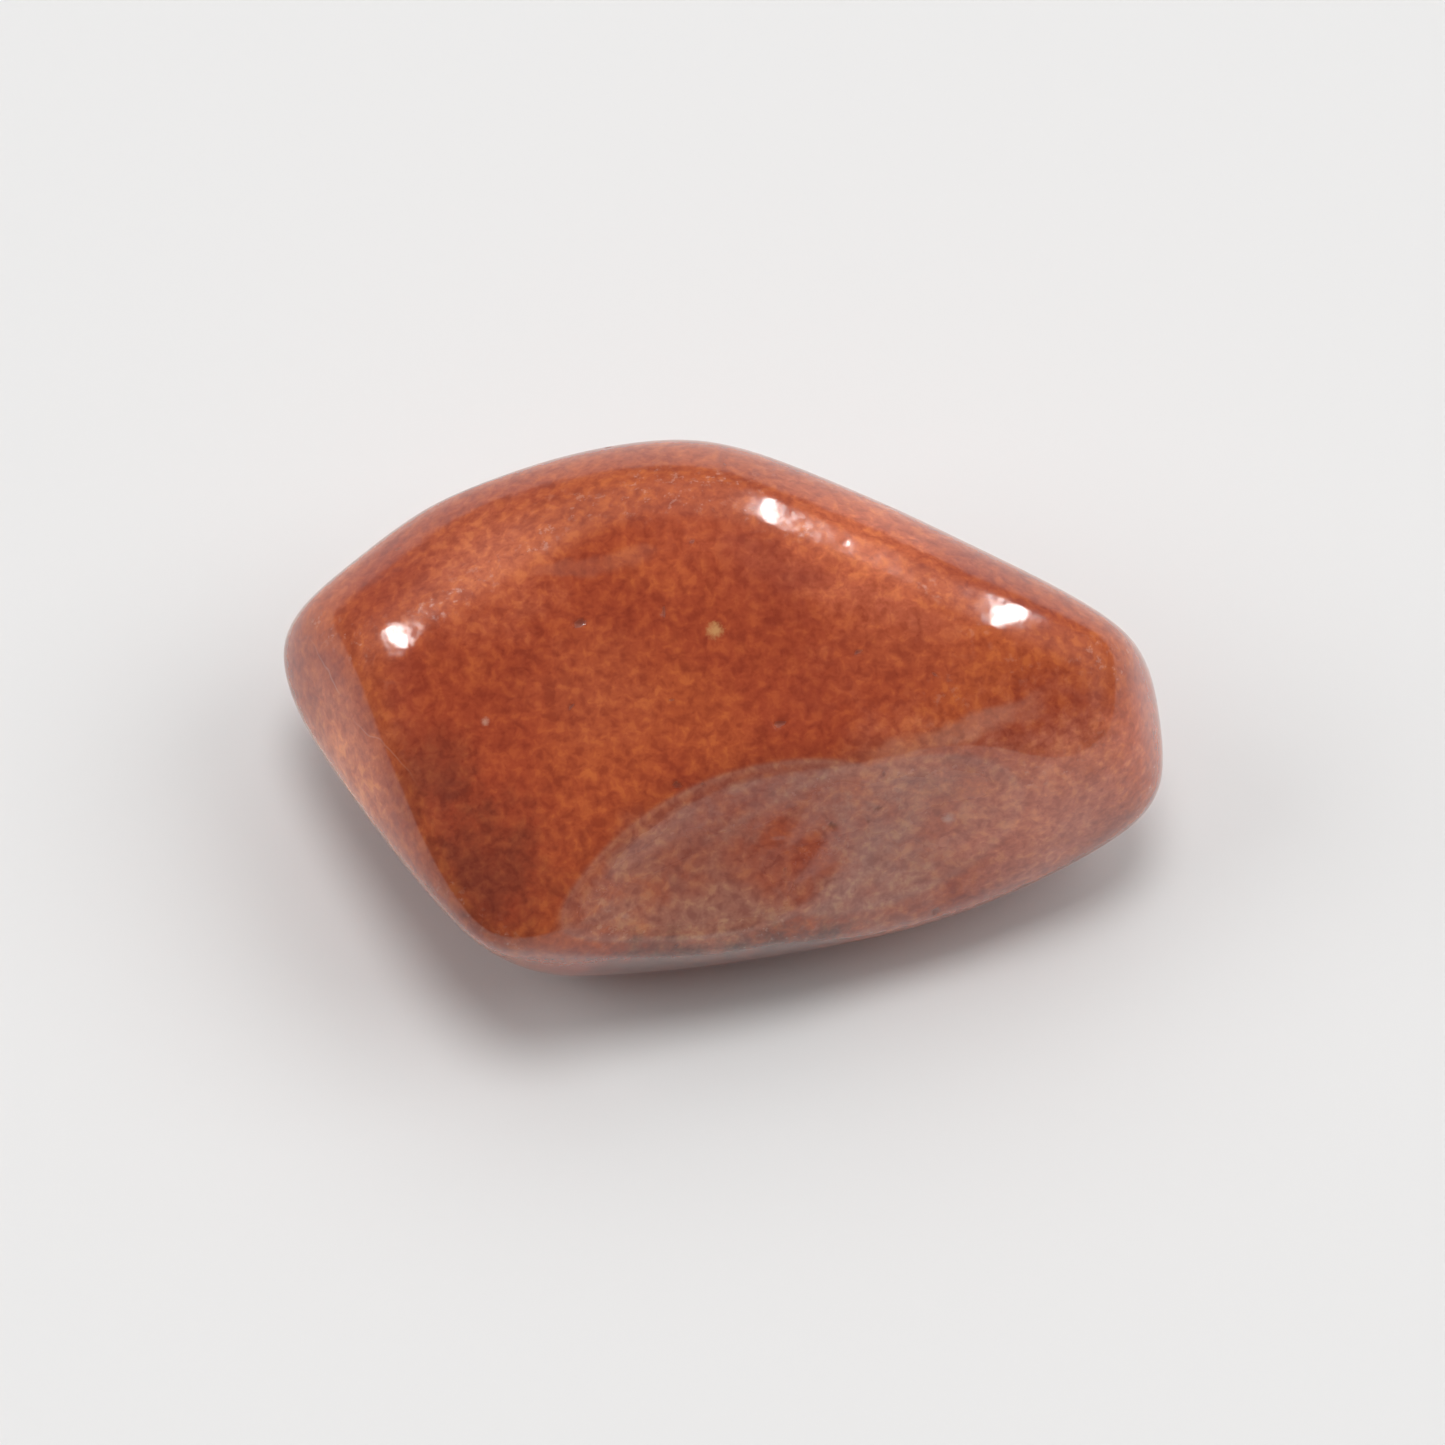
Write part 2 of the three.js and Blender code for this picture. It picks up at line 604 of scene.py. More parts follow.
class Bench:
    """A node tree and the one method that adds nodes to it."""

    def __init__(self, tree: bpy.types.NodeTree) -> None:
        """Starts with the tree emptied."""
        self.tree = tree
        tree.nodes.clear()

    def node(
        self,
        kind: str,
        settings: dict[str, object] | None = None,
        sockets: dict[str | int, object] | None = None,
        output: str | int = 0,
    ) -> Link:
        """Adds one node.

        Args:
            kind: Blender's name of the node type.
            settings: the node's own settings, such as a Math node's operation, set first.
            sockets: a value or a link for each input, by name or number.
            output: the output that is wanted, by name or number.

        Returns:
            That output.
        """
        made = self.tree.nodes.new(kind)
        for name, value in (settings or {}).items():
            setattr(made, name, value)
        for name, value in (sockets or {}).items():
            socket = made.inputs[name]
            if isinstance(value, Link):
                self.tree.links.new(value.socket, socket)
            elif socket.type == "RGBA":
                socket.default_value = (*value, 1.0)
            else:
                socket.default_value = value
        return Link(self, made.outputs[output] if len(made.outputs) else None)

    def vector(self, operation: str, *values: Link | Point, scale: float | None = None) -> Link:
        """Adds a Vector Math node.

        Args:
            operation: Blender's name of the operation.
            values: its vector inputs in order.
            scale: the factor of a SCALE operation.

        Returns:
            The result, a number for DOT_PRODUCT and DISTANCE.
        """
        sockets: dict[str | int, object] = dict(enumerate(values))
        if scale is not None:
            sockets["Scale"] = scale
        output = "Value" if operation in ("DOT_PRODUCT", "DISTANCE") else "Vector"
        return self.node("ShaderNodeVectorMath", {"operation": operation}, sockets, output)

    def mix(
        self,
        under: Link | Colour,
        over: Link | Colour,
        share: Link,
        blend: Blend = Blend.LAID,
    ) -> Link:
        """Puts one colour over another.

        The Mix node's colour sockets share their names with its others, so they go by number.

        Args:
            under: the colour where the share is 0.
            over: the colour that goes over it.
            share: how much of it shows.
            blend: how it goes over.

        Returns:
            The mixed colour.
        """
        settings = {"data_type": "RGBA", "blend_type": blend.value}
        return self.node("ShaderNodeMix", settings, {0: share, 6: under, 7: over}, 2)

    def noise(self, where: Link, noise: Noise) -> Link:
        """Adds a noise texture.

        Args:
            where: coordinates in millimetres.
            noise: the pattern.

        Returns:
            A number about the noise's middle.
        """
        sockets = {
            "Vector": where,
            "Scale": 1.0 / noise.size,
            "Detail": noise.detail,
            "Roughness": noise.rough,
            "Distortion": noise.warp,
        }
        return self.node("ShaderNodeTexNoise", {"noise_dimensions": "3D"}, sockets, "Fac")

    def object_mm(self) -> Link:
        """Object coordinates in millimetres."""
        place = self.node("ShaderNodeTexCoord", output="Object")
        return self.vector("SCALE", place, scale=1.0 / MM)

    def attribute(self, name: str) -> Link:
        """A number that the piece's mesh holds for each of its points."""
        return self.node("ShaderNodeAttribute", {"attribute_name": name}, output="Fac")

    def principled(self, sockets: dict[str | int, object]) -> None:
        """Adds a Principled shader with these sockets, and makes it the material's surface."""
        shader = self.node("ShaderNodeBsdfPrincipled", None, sockets)
        self.node("ShaderNodeOutputMaterial", None, {"Surface": shader})


@dataclass(frozen=True)
class Share:
    """How much of something shows as a number goes from its start to its full, up to a most."""

    start: float
    full: float
    most: float = 1.0

    def of(self, number: Link) -> Link:
        """The share at each place, a soft step times the most."""
        step = number.rise(self.start, self.full)
        return step if self.most == 1.0 else step * self.most


# Finishes


class Mark(Enum):
    """What sets a place on the stone apart, each as a number from 0 to 1."""

    PITS = "pits"
    BRUISES = "bruises"
    RIDGES = "ridges"
    RIMS = "rims"
    HOLLOWS = "hollows"
    VEINS = "veins"
    SCUFFS = "scuffs"
    SMEARS = "smears"


# The marks that the stone's mesh holds
MESH_MARKS = (Mark.PITS, Mark.BRUISES, Mark.RIDGES, Mark.RIMS, Mark.HOLLOWS)


@dataclass(frozen=True)
class Patches:
    """The places where a noise is high."""

    noise: Noise
    share: Share

    def on(self, bench: Bench, where: Link) -> Link:
        """The share of the patches at each place."""
        return self.share.of(bench.noise(where, self.noise))


@dataclass(frozen=True)
class Mottle:
    """A noise with a tint where it is high and another where it is low."""

    noise: Noise
    high: Share
    low: Share
    blend: Blend = Blend.LAID

    def over(self, bench: Bench, where: Link, colour: Link, tints: tuple[Colour, Colour]) -> Link:
        """Tints a colour.

        Args:
            bench: the material's nodes.
            where: coordinates in millimetres.
            colour: the colour under the tints.
            tints: the tint where the noise is high, and the one where it is low.

        Returns:
            The tinted colour.
        """
        pattern = bench.noise(where, self.noise)
        for tint, share in zip(tints, (self.high, self.low)):
            colour = bench.mix(colour, tint, share.of(pattern), self.blend)
        return colour


@dataclass(frozen=True)
class Vein:
    """A healed hairline crack: a wavy plane through the stone, seen as a fine pale line.

    The plane faces some degrees round and up, away millimetres from the origin, and shows within its
    reach of a middle.
    """

    faces: tuple[float, float]
    away: float
    width: float
    middle: Point
    reach: float
    share: float = 0.55


def stone_veins() -> tuple[Vein, ...]:
    """Four fine veins, then a faint wide one by the front rim and a fainter one on the crown."""
    return (
        Vein((35, 24), -2.6, 0.022, (-3.6, 0.6, 3.6), 2.6),
        Vein((118, 12), 1.9, 0.030, (1.0, 3.0, 2.6), 3.0),
        Vein((-62, 35), 1.1, 0.018, (3.2, -0.6, 3.0), 2.0),
        Vein((170, 8), -2.9, 0.026, (3.4, 2.4, 2.2), 3.2),
        Vein((-73, -14), 0.89, 0.20, (3.3, -1.2, 5.0), 1.6, 0.16),
        Vein((99, 10), 2.36, 0.16, (-1.6, 1.2, 5.3), 1.5, 0.06),
    )


@dataclass(frozen=True)
class HealedVeins:
    """The veins together, and how their planes wave and break off."""

    veins: tuple[Vein, ...] = field(default_factory=stone_veins)
    wave: Noise = Noise(1.6, 3.0, 0.6)
    wave_height: float = 0.9
    unbroken: Patches = Patches(Noise(0.9), Share(0.36, 0.55))
    line_core: float = 0.35
    reach_core: float = 0.5

    def on(self, bench: Bench, where: Link) -> Link:
        """How much of a vein shows: a thin line where its plane passes, within its reach.

        Args:
            bench: the material's nodes.
            where: coordinates in millimetres.

        Returns:
            The strongest vein's share.
        """
        shift = (bench.noise(where, self.wave) - NOISE_MIDDLE) * self.wave_height
        unbroken = self.unbroken.on(bench, where)
        shares = []
        for vein in self.veins:
            across = bench.vector("DOT_PRODUCT", where, tuple(bearing_vector(*vein.faces)))
            line = abs(across - vein.away + shift).rise(vein.width, vein.width * self.line_core)
            distance = bench.vector("DISTANCE", where, vein.middle)
            near = distance.rise(vein.reach, vein.reach * self.reach_core)
            shares.append(line * near * unbroken * vein.share)
        return reduce(Link.larger, shares)


@dataclass(frozen=True)
class Spot:
    """A ragged spot of another colour at one place, solid out to its core share of the radius."""

    middle: Point
    radius: float
    colour: Colour
    share: float
    core: float = 0.0


@dataclass(frozen=True)
class Spots:
    """Spots by name, laid one over another, with their edges moved by a noise."""

    spots: dict[str, Spot]
    edge: Noise
    raggedness: float = 1.2

    def over(self, bench: Bench, where: Link, colour: Link) -> Link:
        """Lays the spots over a colour.

        Args:
            bench: the material's nodes.
            where: coordinates in millimetres.
            colour: the colour under the spots.

        Returns:
            The spotted colour.
        """
        uneven = bench.noise(where, self.edge) - NOISE_MIDDLE
        for spot in self.spots.values():
            distance = bench.vector("DISTANCE", where, spot.middle)
            distance = distance + uneven * (spot.radius * self.raggedness)
            inside = distance.rise(spot.radius, spot.radius * spot.core)
            colour = bench.mix(colour, spot.colour, inside * spot.share)
        return colour


def stone_flecks() -> Spots:
    """Small ochre and pale flecks, by name."""
    flecks = {
        "ochre": Spot((-0.11, 0.13, 5.24), 0.16, (0.60, 0.31, 0.12), 0.80, 0.2),
        "pale": Spot((-3.40, -0.96, 4.50), 0.09, (0.62, 0.36, 0.26), 0.55, 0.1),
        "pale_in_scar": Spot((3.25, -1.98, 3.38), 0.13, (0.62, 0.42, 0.36), 0.50),
    }
    return Spots(flecks, Noise(0.07, 4.0, 0.7))


def stone_stains_and_painted_light() -> Spots:
    """Wide tints by name, each laid at one place: stains, and painted light and shade where so marked.
    """
    stains_and_painted_light = {
        # The first two darken the crown's low front-left corner.
        "dark_corner": Spot((-3.40, -3.00, 3.80), 1.70, (0.12, 0.026, 0.015), 0.62),
        "dark_crown_left": Spot((-4.20, -1.70, 4.10), 1.10, (0.14, 0.030, 0.017), 0.50),
        "crown_left": Spot((-1.86, -0.64, 4.81), 1.40, (0.50, 0.115, 0.045), 0.40),
        "crown_right": Spot((2.70, 0.20, 5.40), 1.80, (0.54, 0.120, 0.046), 0.44),
        # Painted light: the top of the crown lighter, as if lit more.
        "painted_light_crown_top": Spot((-0.70, 1.40, 5.50), 1.20, (0.56, 0.110, 0.040), 0.40),
        "right_end": Spot((6.20, -0.60, 3.20), 1.60, (0.54, 0.085, 0.018), 0.80, 0.3),
        "left_cheek": Spot((-5.60, -1.10, 2.70), 1.90, (0.84, 0.235, 0.095), 0.76),
        # Painted reflection: greyish haze on the scar's left rim, as of the pale floor mirrored there.
        "painted_haze_scar_rim_left": Spot((-1.00, -2.75, 3.90), 0.80, (0.35, 0.200, 0.155), 0.30),
        "scar_rim_right": Spot((2.50, -1.75, 4.50), 1.20, (0.64, 0.210, 0.120), 0.40),
        # Painted reflection: deep red in the scar where its polish mirrors only dark shade.
        "painted_dark_reflection_in_scar": Spot((-0.50, -2.80, 3.35), 1.35, (0.34, 0.050, 0.018), 0.55),
        "painted_dark_reflection_in_scar_right": Spot((0.95, -2.42, 3.60), 1.40, (0.38, 0.050, 0.016), 0.62),
        # Painted light: both shoulders lighter, standing in for light from behind.
        "left_shoulder": Spot((-3.40, 1.35, 4.90), 1.60, (0.68, 0.180, 0.085), 0.48),
        "right_shoulder": Spot((2.10, 1.75, 5.40), 1.90, (0.75, 0.180, 0.070), 0.58),
        # Painted reflection: greyish haze on the front, as of the pale floor mirrored there.
        "painted_haze_front_right": Spot((4.60, -2.00, 3.40), 2.40, (0.74, 0.250, 0.155), 0.64),
        "painted_haze_front_low_left": Spot((-0.30, -3.50, 2.70), 1.60, (0.38, 0.190, 0.140), 0.55),
        "painted_haze_front_low_right": Spot((2.40, -3.20, 2.60), 1.60, (0.42, 0.200, 0.145), 0.50),
        # Painted shadow: dark along the front foot, standing in for the contact shadow mirrored in the
        # lower front.
        "painted_shadow_foot_left": Spot((-0.90, -3.90, 1.60), 1.50, (0.10, 0.030, 0.022), 0.80, 0.4),
        "painted_shadow_foot_right": Spot((0.90, -3.55, 1.40), 1.50, (0.10, 0.030, 0.022), 0.80, 0.4),
    }
    return Spots(stains_and_painted_light, Noise(0.45, 4.0, 0.7))


@dataclass(frozen=True)
class StoneColour:
    """Brick red, paler on ridges by wear and painted sheen, greyed in scars by frost and painted haze.

    Over it go clouds, blots, layers, stains with painted light and shade, and grain. The coarse mottles
    are deep red where high and orange where low. The fine ones multiply what lies under them by darker
    and lighter. The layers are a noise drawn out along two turned directions.
    """

    brick: Colour = (0.375, 0.059, 0.021)
    deep: Colour = (0.235, 0.028, 0.011)
    orange: Colour = (0.53, 0.115, 0.032)
    # Greyish pale: partly a frosted scar, partly painted haze of the pale floor mirrored in scars.
    frost_and_haze: Colour = (0.42, 0.205, 0.150)
    darker: Colour = (0.63, 0.475, 0.52)
    lighter: Colour = (1.32, 1.65, 1.40)
    ridge_share: float = 0.45
    frost_and_haze_share: float = 0.30
    frost_and_haze_blots: Patches = Patches(Noise(0.75, 4.0, 0.6, 0.4), Share(0.40, 0.62, 0.40))
    frost_and_haze_edge: Share = Share(0.0, 0.25, 0.75)
    clouds: Mottle = Mottle(Noise(4.2, 3.0, 0.55, 0.6), Share(0.50, 0.72, 0.50), Share(0.47, 0.3, 0.40))
    blots: Mottle = Mottle(Noise(0.75, 4.0, 0.6, 0.4), Share(0.52, 0.70, 0.30), Share(0.46, 0.3, 0.28))
    layers: Mottle = Mottle(Noise(1.0, 3.0, 0.6, 0.35), Share(0.54, 0.70, 0.14), Share(0.45, 0.3, 0.12))
    layer_turn: Point = (0.5, 0.35, 0.9)
    layer_size: Point = (2.4, 2.0, 0.16)
    stains_and_painted_light: Spots = field(default_factory=stone_stains_and_painted_light)
    mottle: Mottle = Mottle(
        Noise(0.17, 2.0, 0.6, 0.3), Share(0.47, 0.70, 0.62), Share(0.51, 0.30, 0.68), Blend.MULTIPLIED
    )
    grain: Mottle = Mottle(
        Noise(0.06, 3.0, 0.7), Share(0.56, 0.78, 0.45), Share(0.40, 0.24, 0.35), Blend.MULTIPLIED
    )

    def _frost_and_haze(self, bench: Bench, where: Link, marks: dict[Mark, Link]) -> Link:
        """How much frost and painted haze show: some all over a scar, more in blots, and most along its
        rim.

        Args:
            bench: the material's nodes.
            where: coordinates in millimetres.
            marks: the stone's marks.

        Returns:
            The larger of the shares inside and along the rim.
        """
        hollows = marks[Mark.HOLLOWS]
        inside = hollows * (self.frost_and_haze_share + self.frost_and_haze_blots.on(bench, where))
        return inside.larger(marks[Mark.RIMS] * self.frost_and_haze_edge.of(hollows))

    def on(self, bench: Bench, where: Link, marks: dict[Mark, Link]) -> Link:
        """The stone's colour with its painted light and shade, before veins, flecks and pits.

        Args:
            bench: the material's nodes.
            where: coordinates in millimetres.
            marks: the stone's marks.

        Returns:
            The colour.
        """
        settings = {"vector_type": "TEXTURE"}
        sockets = {"Vector": where, "Rotation": self.layer_turn, "Scale": self.layer_size}
        layered = bench.node("ShaderNodeMapping", settings, sockets)
        coarse, fine = (self.deep, self.orange), (self.darker, self.lighter)
        # Ridges go lighter orange, partly wear and partly painted sheen where ridges catch light.
        colour = bench.mix(self.brick, self.orange, marks[Mark.RIDGES] * self.ridge_share)
        # Frost and painted haze in the scars.
        colour = bench.mix(colour, self.frost_and_haze, self._frost_and_haze(bench, where, marks))
        colour = self.clouds.over(bench, where, colour, coarse)
        colour = self.blots.over(bench, where, colour, coarse)
        colour = self.layers.over(bench, layered, colour, coarse)
        colour = self.stains_and_painted_light.over(bench, where, colour)
        colour = self.mottle.over(bench, where, colour, fine)
        return self.grain.over(bench, where, colour, fine)


def new_material(name: str) -> bpy.types.Material:
    """A new material with a node tree."""
    material = bpy.data.materials.new(name)
    material.use_nodes = True
    return material


@dataclass(frozen=True)
class PolishedJasper:
    """Opaque brick-red stone with a wet gloss that marks dull, and low waves, their relief in mm."""

    stone: StoneColour = field(default_factory=StoneColour)
    veins: HealedVeins = field(default_factory=HealedVeins)
    flecks: Spots = field(default_factory=stone_flecks)
    quartz: Colour = (0.66, 0.45, 0.34)
    iron_brown: Colour = (0.085, 0.020, 0.013)
    brown_in_pits: float = 0.50
    quartz_in_scuffs: float = 0.14
    worn: Patches = Patches(Noise(1.3), Share(0.46, 0.58))
    scratches: Patches = Patches(Noise(0.13, 3.0, 0.65), Share(0.54, 0.68))
    smears: Patches = Patches(Noise(1.1, 3.0), Share(0.45, 0.75))
    roughness: float = 0.10
    dulling: tuple[tuple[Mark, float], ...] = (
        (Mark.SMEARS, 0.05),
        (Mark.PITS, 0.40),
        (Mark.BRUISES, 0.10),
        (Mark.SCUFFS, 0.18),
        (Mark.VEINS, 0.20),
        (Mark.RIDGES, 0.02),
        (Mark.HOLLOWS, 0.16),
    )
    waves: Noise = Noise(0.42)
    more_in_scars: float = 1.2
    fine_waves: Noise = Noise(0.05)
    fine_share: float = 0.03
    relief: float = 0.008
    refraction: float = 1.54
    coat: float = 0.4
    coat_roughness: float = 0.05
    coat_refraction: float = 1.5

    def _marks(self, bench: Bench, where: Link) -> dict[Mark, Link]:
        """The marks that the mesh holds, and the veins, scuffs and smears that are patterns.

        Args:
            bench: the material's nodes.
            where: coordinates in millimetres.

        Returns:
            Each mark's share.
        """
        marks = {mark: bench.attribute(mark.value) for mark in MESH_MARKS}
        marks[Mark.VEINS] = self.veins.on(bench, where)
        scuffs = marks[Mark.RIDGES] * self.worn.on(bench, where)
        marks[Mark.SCUFFS] = scuffs * self.scratches.on(bench, where)
        marks[Mark.SMEARS] = self.smears.on(bench, where)
        return marks

    def _colour(self, bench: Bench, where: Link, marks: dict[Mark, Link]) -> Link:
        """The stone's colour with quartz in veins and scuffs, flecks, and brown in pits.

        Args:
            bench: the material's nodes.
            where: coordinates in millimetres.
            marks: the stone's marks.

        Returns:
            The finished colour.
        """
        colour = bench.mix(self.stone.on(bench, where, marks), self.quartz, marks[Mark.VEINS])
        colour = self.flecks.over(bench, where, colour)
        colour = bench.mix(colour, self.iron_brown, marks[Mark.PITS] * self.brown_in_pits)
        return bench.mix(colour, self.quartz, marks[Mark.SCUFFS] * self.quartz_in_scuffs)

    def _normal(self, bench: Bench, where: Link, hollows: Link) -> Link:
        """Low waves of the polish, higher in scars, with finer ones on them.

        Args:
            bench: the material's nodes.
            where: coordinates in millimetres.
            hollows: how far a place is inside a scar.

        Returns:
            The bumped normal.
        """
        height = bench.noise(where, self.waves) * (1.0 + hollows * self.more_in_scars)
        height = height + bench.noise(where, self.fine_waves) * self.fine_share
        sockets = {"Strength": 1.0, "Distance": self.relief * MM, "Height": height}
        return bench.node("ShaderNodeBump", None, sockets, "Normal")

    def build(self) -> bpy.types.Material:
        """Makes the material.

        Returns:
            The finished material.
        """
        material = new_material("polished_jasper")
        bench = Bench(material.node_tree)
        where = bench.object_mm()
        marks = self._marks(bench, where)
        rough: Link | float = self.roughness
        for mark, share in self.dulling:
            rough = rough + marks[mark] * share
        bench.principled(
            {
                "Base Color": self._colour(bench, where, marks),
                "Roughness": rough,
                "Normal": self._normal(bench, where, marks[Mark.HOLLOWS]),
                "IOR": self.refraction,
                "Coat Weight": self.coat,
                "Coat Roughness": self.coat_roughness,
                "Coat IOR": self.coat_refraction,
            }
        )
        return material


@dataclass(frozen=True)
class PaleBoard:
    """Matt white board, a touch warm."""

    colour: Colour = (0.80, 0.7968, 0.7936)
    roughness: float = 0.75
    gleam: float = 0.2

    def build(self) -> bpy.types.Material:
        """Makes the material.

        Returns:
            The finished material.
        """
        material = new_material("pale_board")
        Bench(material.node_tree).principled(
            {
                "Base Color": self.colour,
                "Roughness": self.roughness,
                "Specular IOR Level": self.gleam,
            }
        )
        return material


# The pieces


def new_object(name: str, points: np.ndarray, faces: np.ndarray) -> bpy.types.Object:
    """Makes a mesh object at the origin.

    Args:
        name: the object's name.
        points: corners in metres, shape (n, 3).
        faces: corner numbers of each square, shape (m, 4).

    Returns:
        The object, linked to the scene.
    """
    mesh = bpy.data.meshes.new(name)
    mesh.vertices.add(len(points))
    mesh.vertices.foreach_set("co", points.astype(np.float32).ravel())
    mesh.loops.add(faces.size)
    mesh.loops.foreach_set("vertex_index", faces.astype(np.int32).ravel())
    mesh.polygons.add(len(faces))
    mesh.polygons.foreach_set("loop_start", np.arange(0, faces.size, faces.shape[1], dtype=np.int32))
    mesh.polygons.foreach_set("use_smooth", np.ones(len(faces), dtype=bool))
    mesh.update(calc_edges=True)
    mesh.validate()
    made = bpy.data.objects.new(name, mesh)
    bpy.context.scene.collection.objects.link(made)
    return made


@dataclass(frozen=True)
class JasperChip:
    """The stone: its form, low relief and finish, and how near a ridge its mark starts and is full."""

    form: TumbledForm = field(default_factory=TumbledForm)
    grid: CubeGrid = field(default_factory=CubeGrid)
    swells: Swells = field(default_factory=Swells)
    ripples: ScarRipples = field(default_factory=ScarRipples)
    pits: SmallLosses = SmallLosses(Place.ANYWHERE, 44, 0.02, 0.085, 0.35, seed=11)
    bruises: SmallLosses = SmallLosses(Place.RIDGES, 30, 0.03, 0.13, 0.12, seed=23, wobble=0.45)
    ridge_start: float = 0.2
    ridge_full: float = 0.9
    finish: PolishedJasper = field(default_factory=PolishedJasper)
    node: str = "jasper_chip"

    def surface(self) -> tuple[np.ndarray, np.ndarray, dict[Mark, np.ndarray]]:
        """The skin: each ray's reach, with swells and ripples added and pits and bruises taken off.

        Returns:
            Points in millimetres from the heart, the squares between them, and the mesh's marks.
        """
        rays, faces = self.grid.skin()
        points = self.form.on_surface(rays)
        pit_depth, pits = self.pits.share(points, self.form)
        bruise_depth, bruises = self.bruises.share(points, self.form)
        hollows = [self.form.scar_share(points, name) for name in self.form.scars]
        marks = {
            Mark.PITS: pits,
            Mark.BRUISES: bruises,
            Mark.RIDGES: smooth_rise(self.form.ridge_share(points), self.ridge_start, self.ridge_full),
            Mark.RIMS: self.form.rim_share(points),
            Mark.HOLLOWS: np.max(hollows, axis=0),
        }
        lift = self.swells.lift(points) + self.ripples.lift(points, self.form)
        points = points + rays * (lift - pit_depth - bruise_depth)[:, None]
        points[:, 2] = np.maximum(points[:, 2], -self.form.heart_height)
        return points, faces, marks

    def fit_to_box(self, points: np.ndarray) -> np.ndarray:
        """Carries the skin's own box onto the solid's box, each axis by one stretch and one shift.

        Args:
            points: places in millimetres from the heart, shape (n, 3).

        Returns:
            Places in metres in the model's frame.
        """
        low, high = (np.array(corner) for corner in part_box(self.node))
        own_low, own_high = points.min(axis=0), points.max(axis=0)
        return low + (points - own_low) / (own_high - own_low) * (high - low)

    def build(self) -> bpy.types.Object:
        """Builds the stone, dresses it and puts it in the solid's place.

        Returns:
            The stone's object.
        """
        points, faces, marks = self.surface()
        stone = new_object("chip", self.fit_to_box(points), faces)
        for mark, values in marks.items():
            attribute = stone.data.attributes.new(mark.value, "FLOAT", "POINT")
            attribute.data.foreach_set("value", values.astype(np.float32))
        stone.data.materials.append(self.finish.build())
        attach(stone, "root")
        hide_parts(self.node)
        return stone


@dataclass(frozen=True)
class StudioFloor:
    """The plain floor that the stone lies on."""

    half_width: float = 1.6
    squares: int = 8
    finish: PaleBoard = field(default_factory=PaleBoard)

    def build(self) -> bpy.types.Object:
        """Builds a level square grid at height 0.

        Returns:
            The floor's object.
        """
        steps = np.linspace(-self.half_width, self.half_width, self.squares + 1)
        x, y = np.meshgrid(steps, steps, indexing="ij")
        points = np.stack([x.ravel(), y.ravel(), np.zeros(x.size)], axis=1)
        numbers = np.arange(x.size).reshape(x.shape)
        floor = new_object("floor", points, grid_squares(numbers))
        floor.data.materials.append(self.finish.build())
        return floor


@dataclass(frozen=True)
class Lamp:
    """A lamp that faces the stone, turn degrees round and up degrees high, rolled about its own axis.

    A glint shows only as a reflection in the polish, and any other lamp only as soft light.
    """

    name: str
    turn: float
    up: float
    away: float
    size: tuple[float, float]
    power: float
    roll: float = 0.0
    glint: bool = False

    def build(self) -> bpy.types.Object:
        """Makes the lamp, hidden from the camera.

        Returns:
            The lamp's object.
        """
        light = bpy.data.lights.new(self.name, "AREA")
        light.shape = "ELLIPSE"
        light.size, light.size_y = self.size
        light.energy = self.power
        lamp = bpy.data.objects.new(self.name, light)
        lamp.location = tuple(bearing_vector(self.turn, self.up) * self.away)
        round_stone = Matrix.Rotation(math.radians(self.turn + 90.0), 3, "Z")
        tilt = Matrix.Rotation(math.radians(90.0 - self.up), 3, "X")
        roll = Matrix.Rotation(math.radians(self.roll), 3, "Z")
        lamp.rotation_euler = (round_stone @ tilt @ roll).to_euler()
        lamp.visible_camera = False
        lamp.visible_glossy = self.glint
        lamp.visible_diffuse = not self.glint
        bpy.context.scene.collection.objects.link(lamp)
        return lamp


@dataclass(frozen=True)
class SoftSky:
    """Surroundings with a pale horizon, darker low walls and a pale tent, dark on the camera's side.

    The tent's and the horizon's shares take the sine of the angle above level, and the camera's takes
    the cosine of the angle from its bearing.
    """

    colour: Colour = (1.0, 0.995, 0.99)
    low: float = 0.22
    tent: float = 0.46
    tent_share: Share = Share(0.20, 0.42)
    camera_side: float = 0.12
    camera_bearing: tuple[float, float] = (-110.0, 48.0)
    camera_share: Share = Share(0.30, 0.62)
    horizon: float = 0.82
    horizon_share: Share = Share(0.08, 0.045)

    def build(self) -> bpy.types.World:
        """Makes the world's nodes.

        Returns:
            The world.
        """
        world = bpy.data.worlds.new("soft_sky")
        world.use_nodes = True
        bpy.context.scene.world = world
        bench = Bench(world.node_tree)
        way = bench.vector("NORMALIZE", bench.node("ShaderNodeTexCoord", output="Object"))
        height = bench.vector("DOT_PRODUCT", way, (0.0, 0.0, 1.0))
        towards = bench.vector("DOT_PRODUCT", way, tuple(bearing_vector(*self.camera_bearing)))
        strength = self.tent_share.of(height) * (self.tent - self.low) + self.low
        strength = strength.mixed(self.camera_side, self.camera_share.of(towards))
        strength = strength.mixed(self.horizon, self.horizon_share.of(height))
        shader = bench.node("ShaderNodeBackground", None, {"Color": self.colour, "Strength": strength})
        bench.node("ShaderNodeOutputWorld", None, {"Surface": shader})
        return world


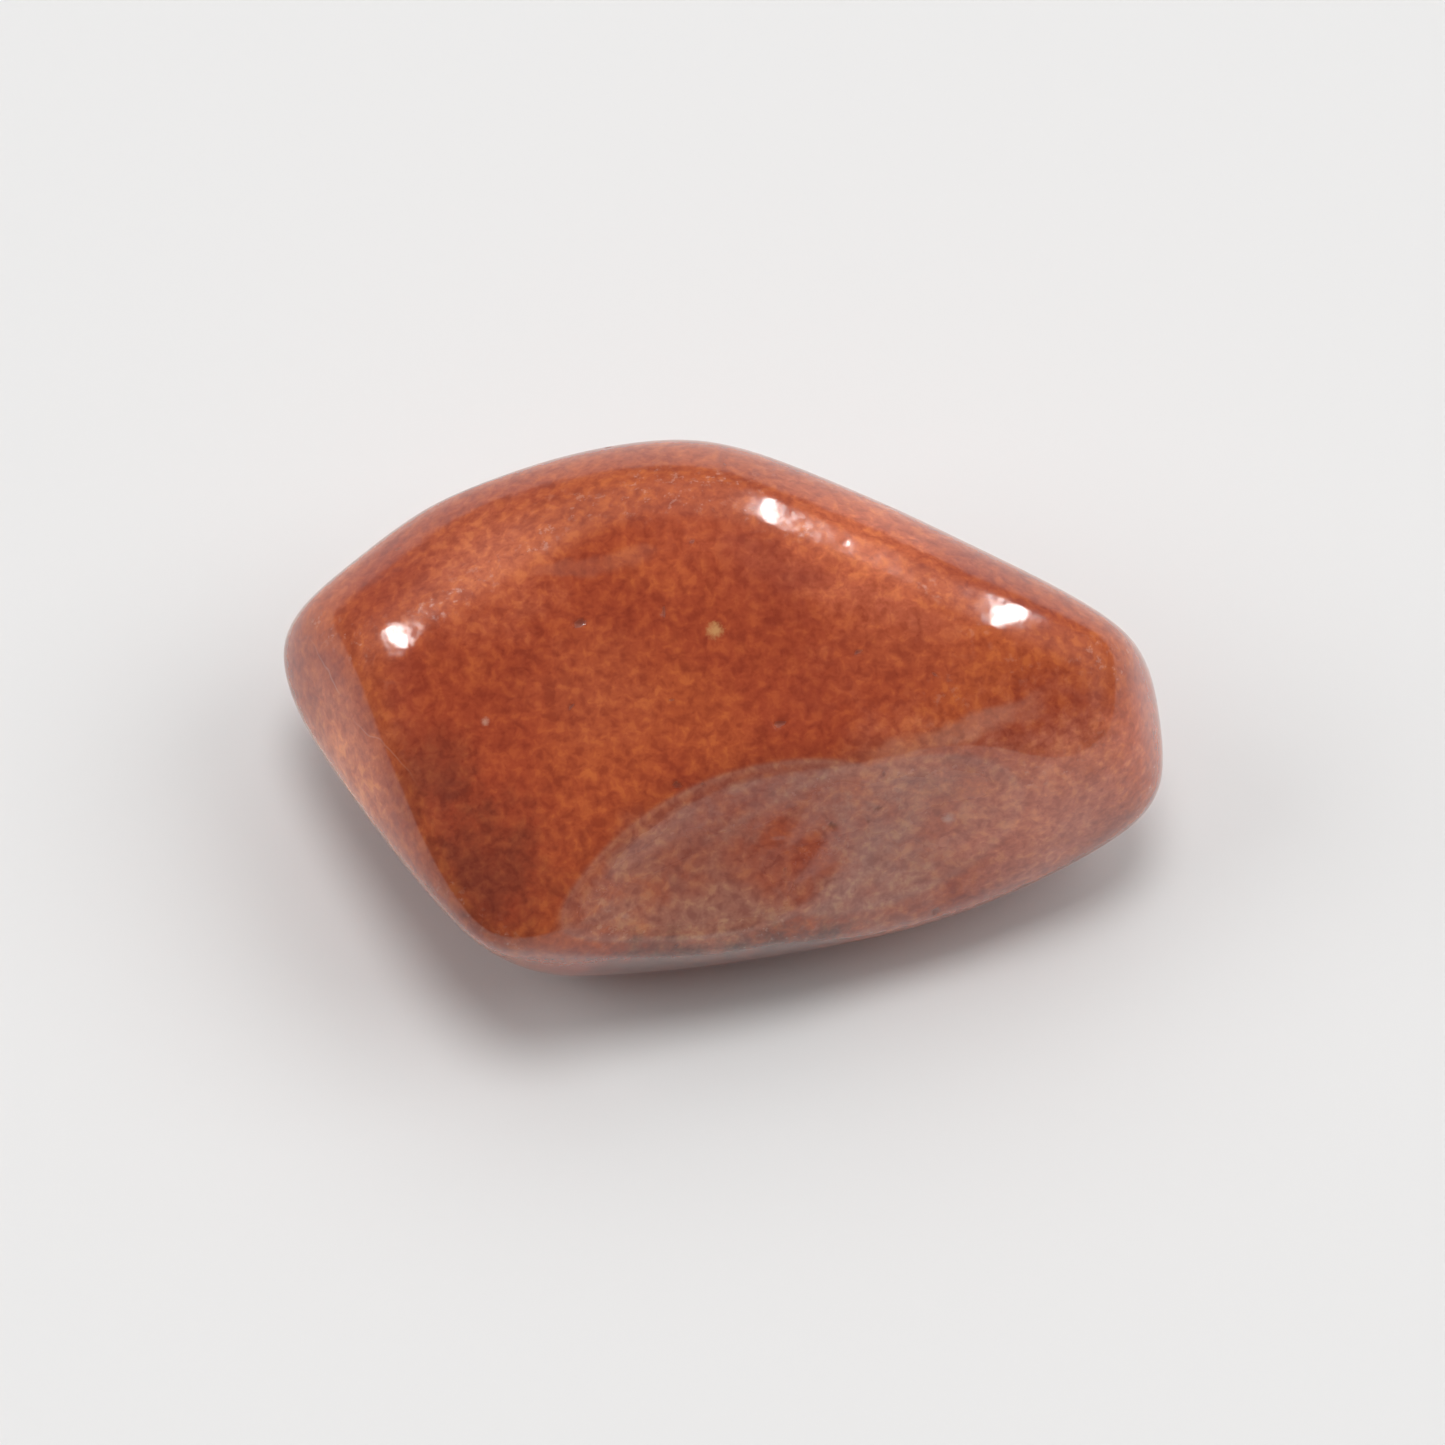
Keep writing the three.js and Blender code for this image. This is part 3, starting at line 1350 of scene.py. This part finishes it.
@dataclass(frozen=True)
class Studio:
    """Surroundings, lamps and camera."""

    sky: SoftSky = field(default_factory=SoftSky)
    lamps: tuple[Lamp, ...] = (
        Lamp("left_lamp", 149.5, 43.5, 1.0, (0.060, 0.46), 2.2, roll=-32.0, glint=True),
        Lamp("right_lamp", 56.0, 39.0, 1.0, (0.060, 0.95), 4.2, roll=16.0, glint=True),
        Lamp("back_lamp", 77.0, 36.0, 1.0, (0.036, 0.70), 2.2, roll=-4.0, glint=True),
        Lamp("left_fill", 180.0, 44.0, 1.0, (0.70, 0.70), 2.4),
        Lamp("right_fill", 6.0, 48.0, 1.0, (0.70, 0.70), 2.8),
        Lamp("back_fill", 92.0, 54.0, 1.2, (1.5, 0.8), 2.4),
        Lamp("top_fill", 90.0, 84.0, 1.2, (0.50, 0.45), 5.2),
    )
    view_up: float = 65.0
    lens: float = 257.0
    camera_away: float = 0.150
    nearest: float = 0.005
    farthest: float = 5.0
    aim: Point = (0.0, 0.0, 0.0024)

    def build(self) -> bpy.types.Object:
        """Makes the surroundings, the lamps and the camera.

        Returns:
            The camera.
        """
        self.sky.build()
        for lamp in self.lamps:
            log.info("lamp %s", lamp.build().name)
        camera = bpy.data.objects.new("camera", bpy.data.cameras.new("camera"))
        back = bearing_vector(-90.0, self.view_up)
        camera.location = tuple(np.array(self.aim) + back * self.camera_away)
        camera.rotation_euler = (math.radians(90.0 - self.view_up), 0.0, 0.0)
        camera.data.lens = self.lens
        camera.data.clip_start = self.nearest
        camera.data.clip_end = self.farthest
        bpy.context.scene.collection.objects.link(camera)
        bpy.context.scene.camera = camera
        bpy.context.scene.view_settings.view_transform = "Standard"
        return camera


def main() -> None:
    """Builds the stone, its floor and the studio, and reports each."""
    logging.basicConfig(level=logging.INFO, format="%(name)s: %(message)s")
    for built in (JasperChip().build(), StudioFloor().build()):
        mesh = built.data
        log.info("%s: %d points, %d faces", built.name, len(mesh.vertices), len(mesh.polygons))
    log.info("camera %s", Studio().build().name)


if __name__ == "__main__":
    main()
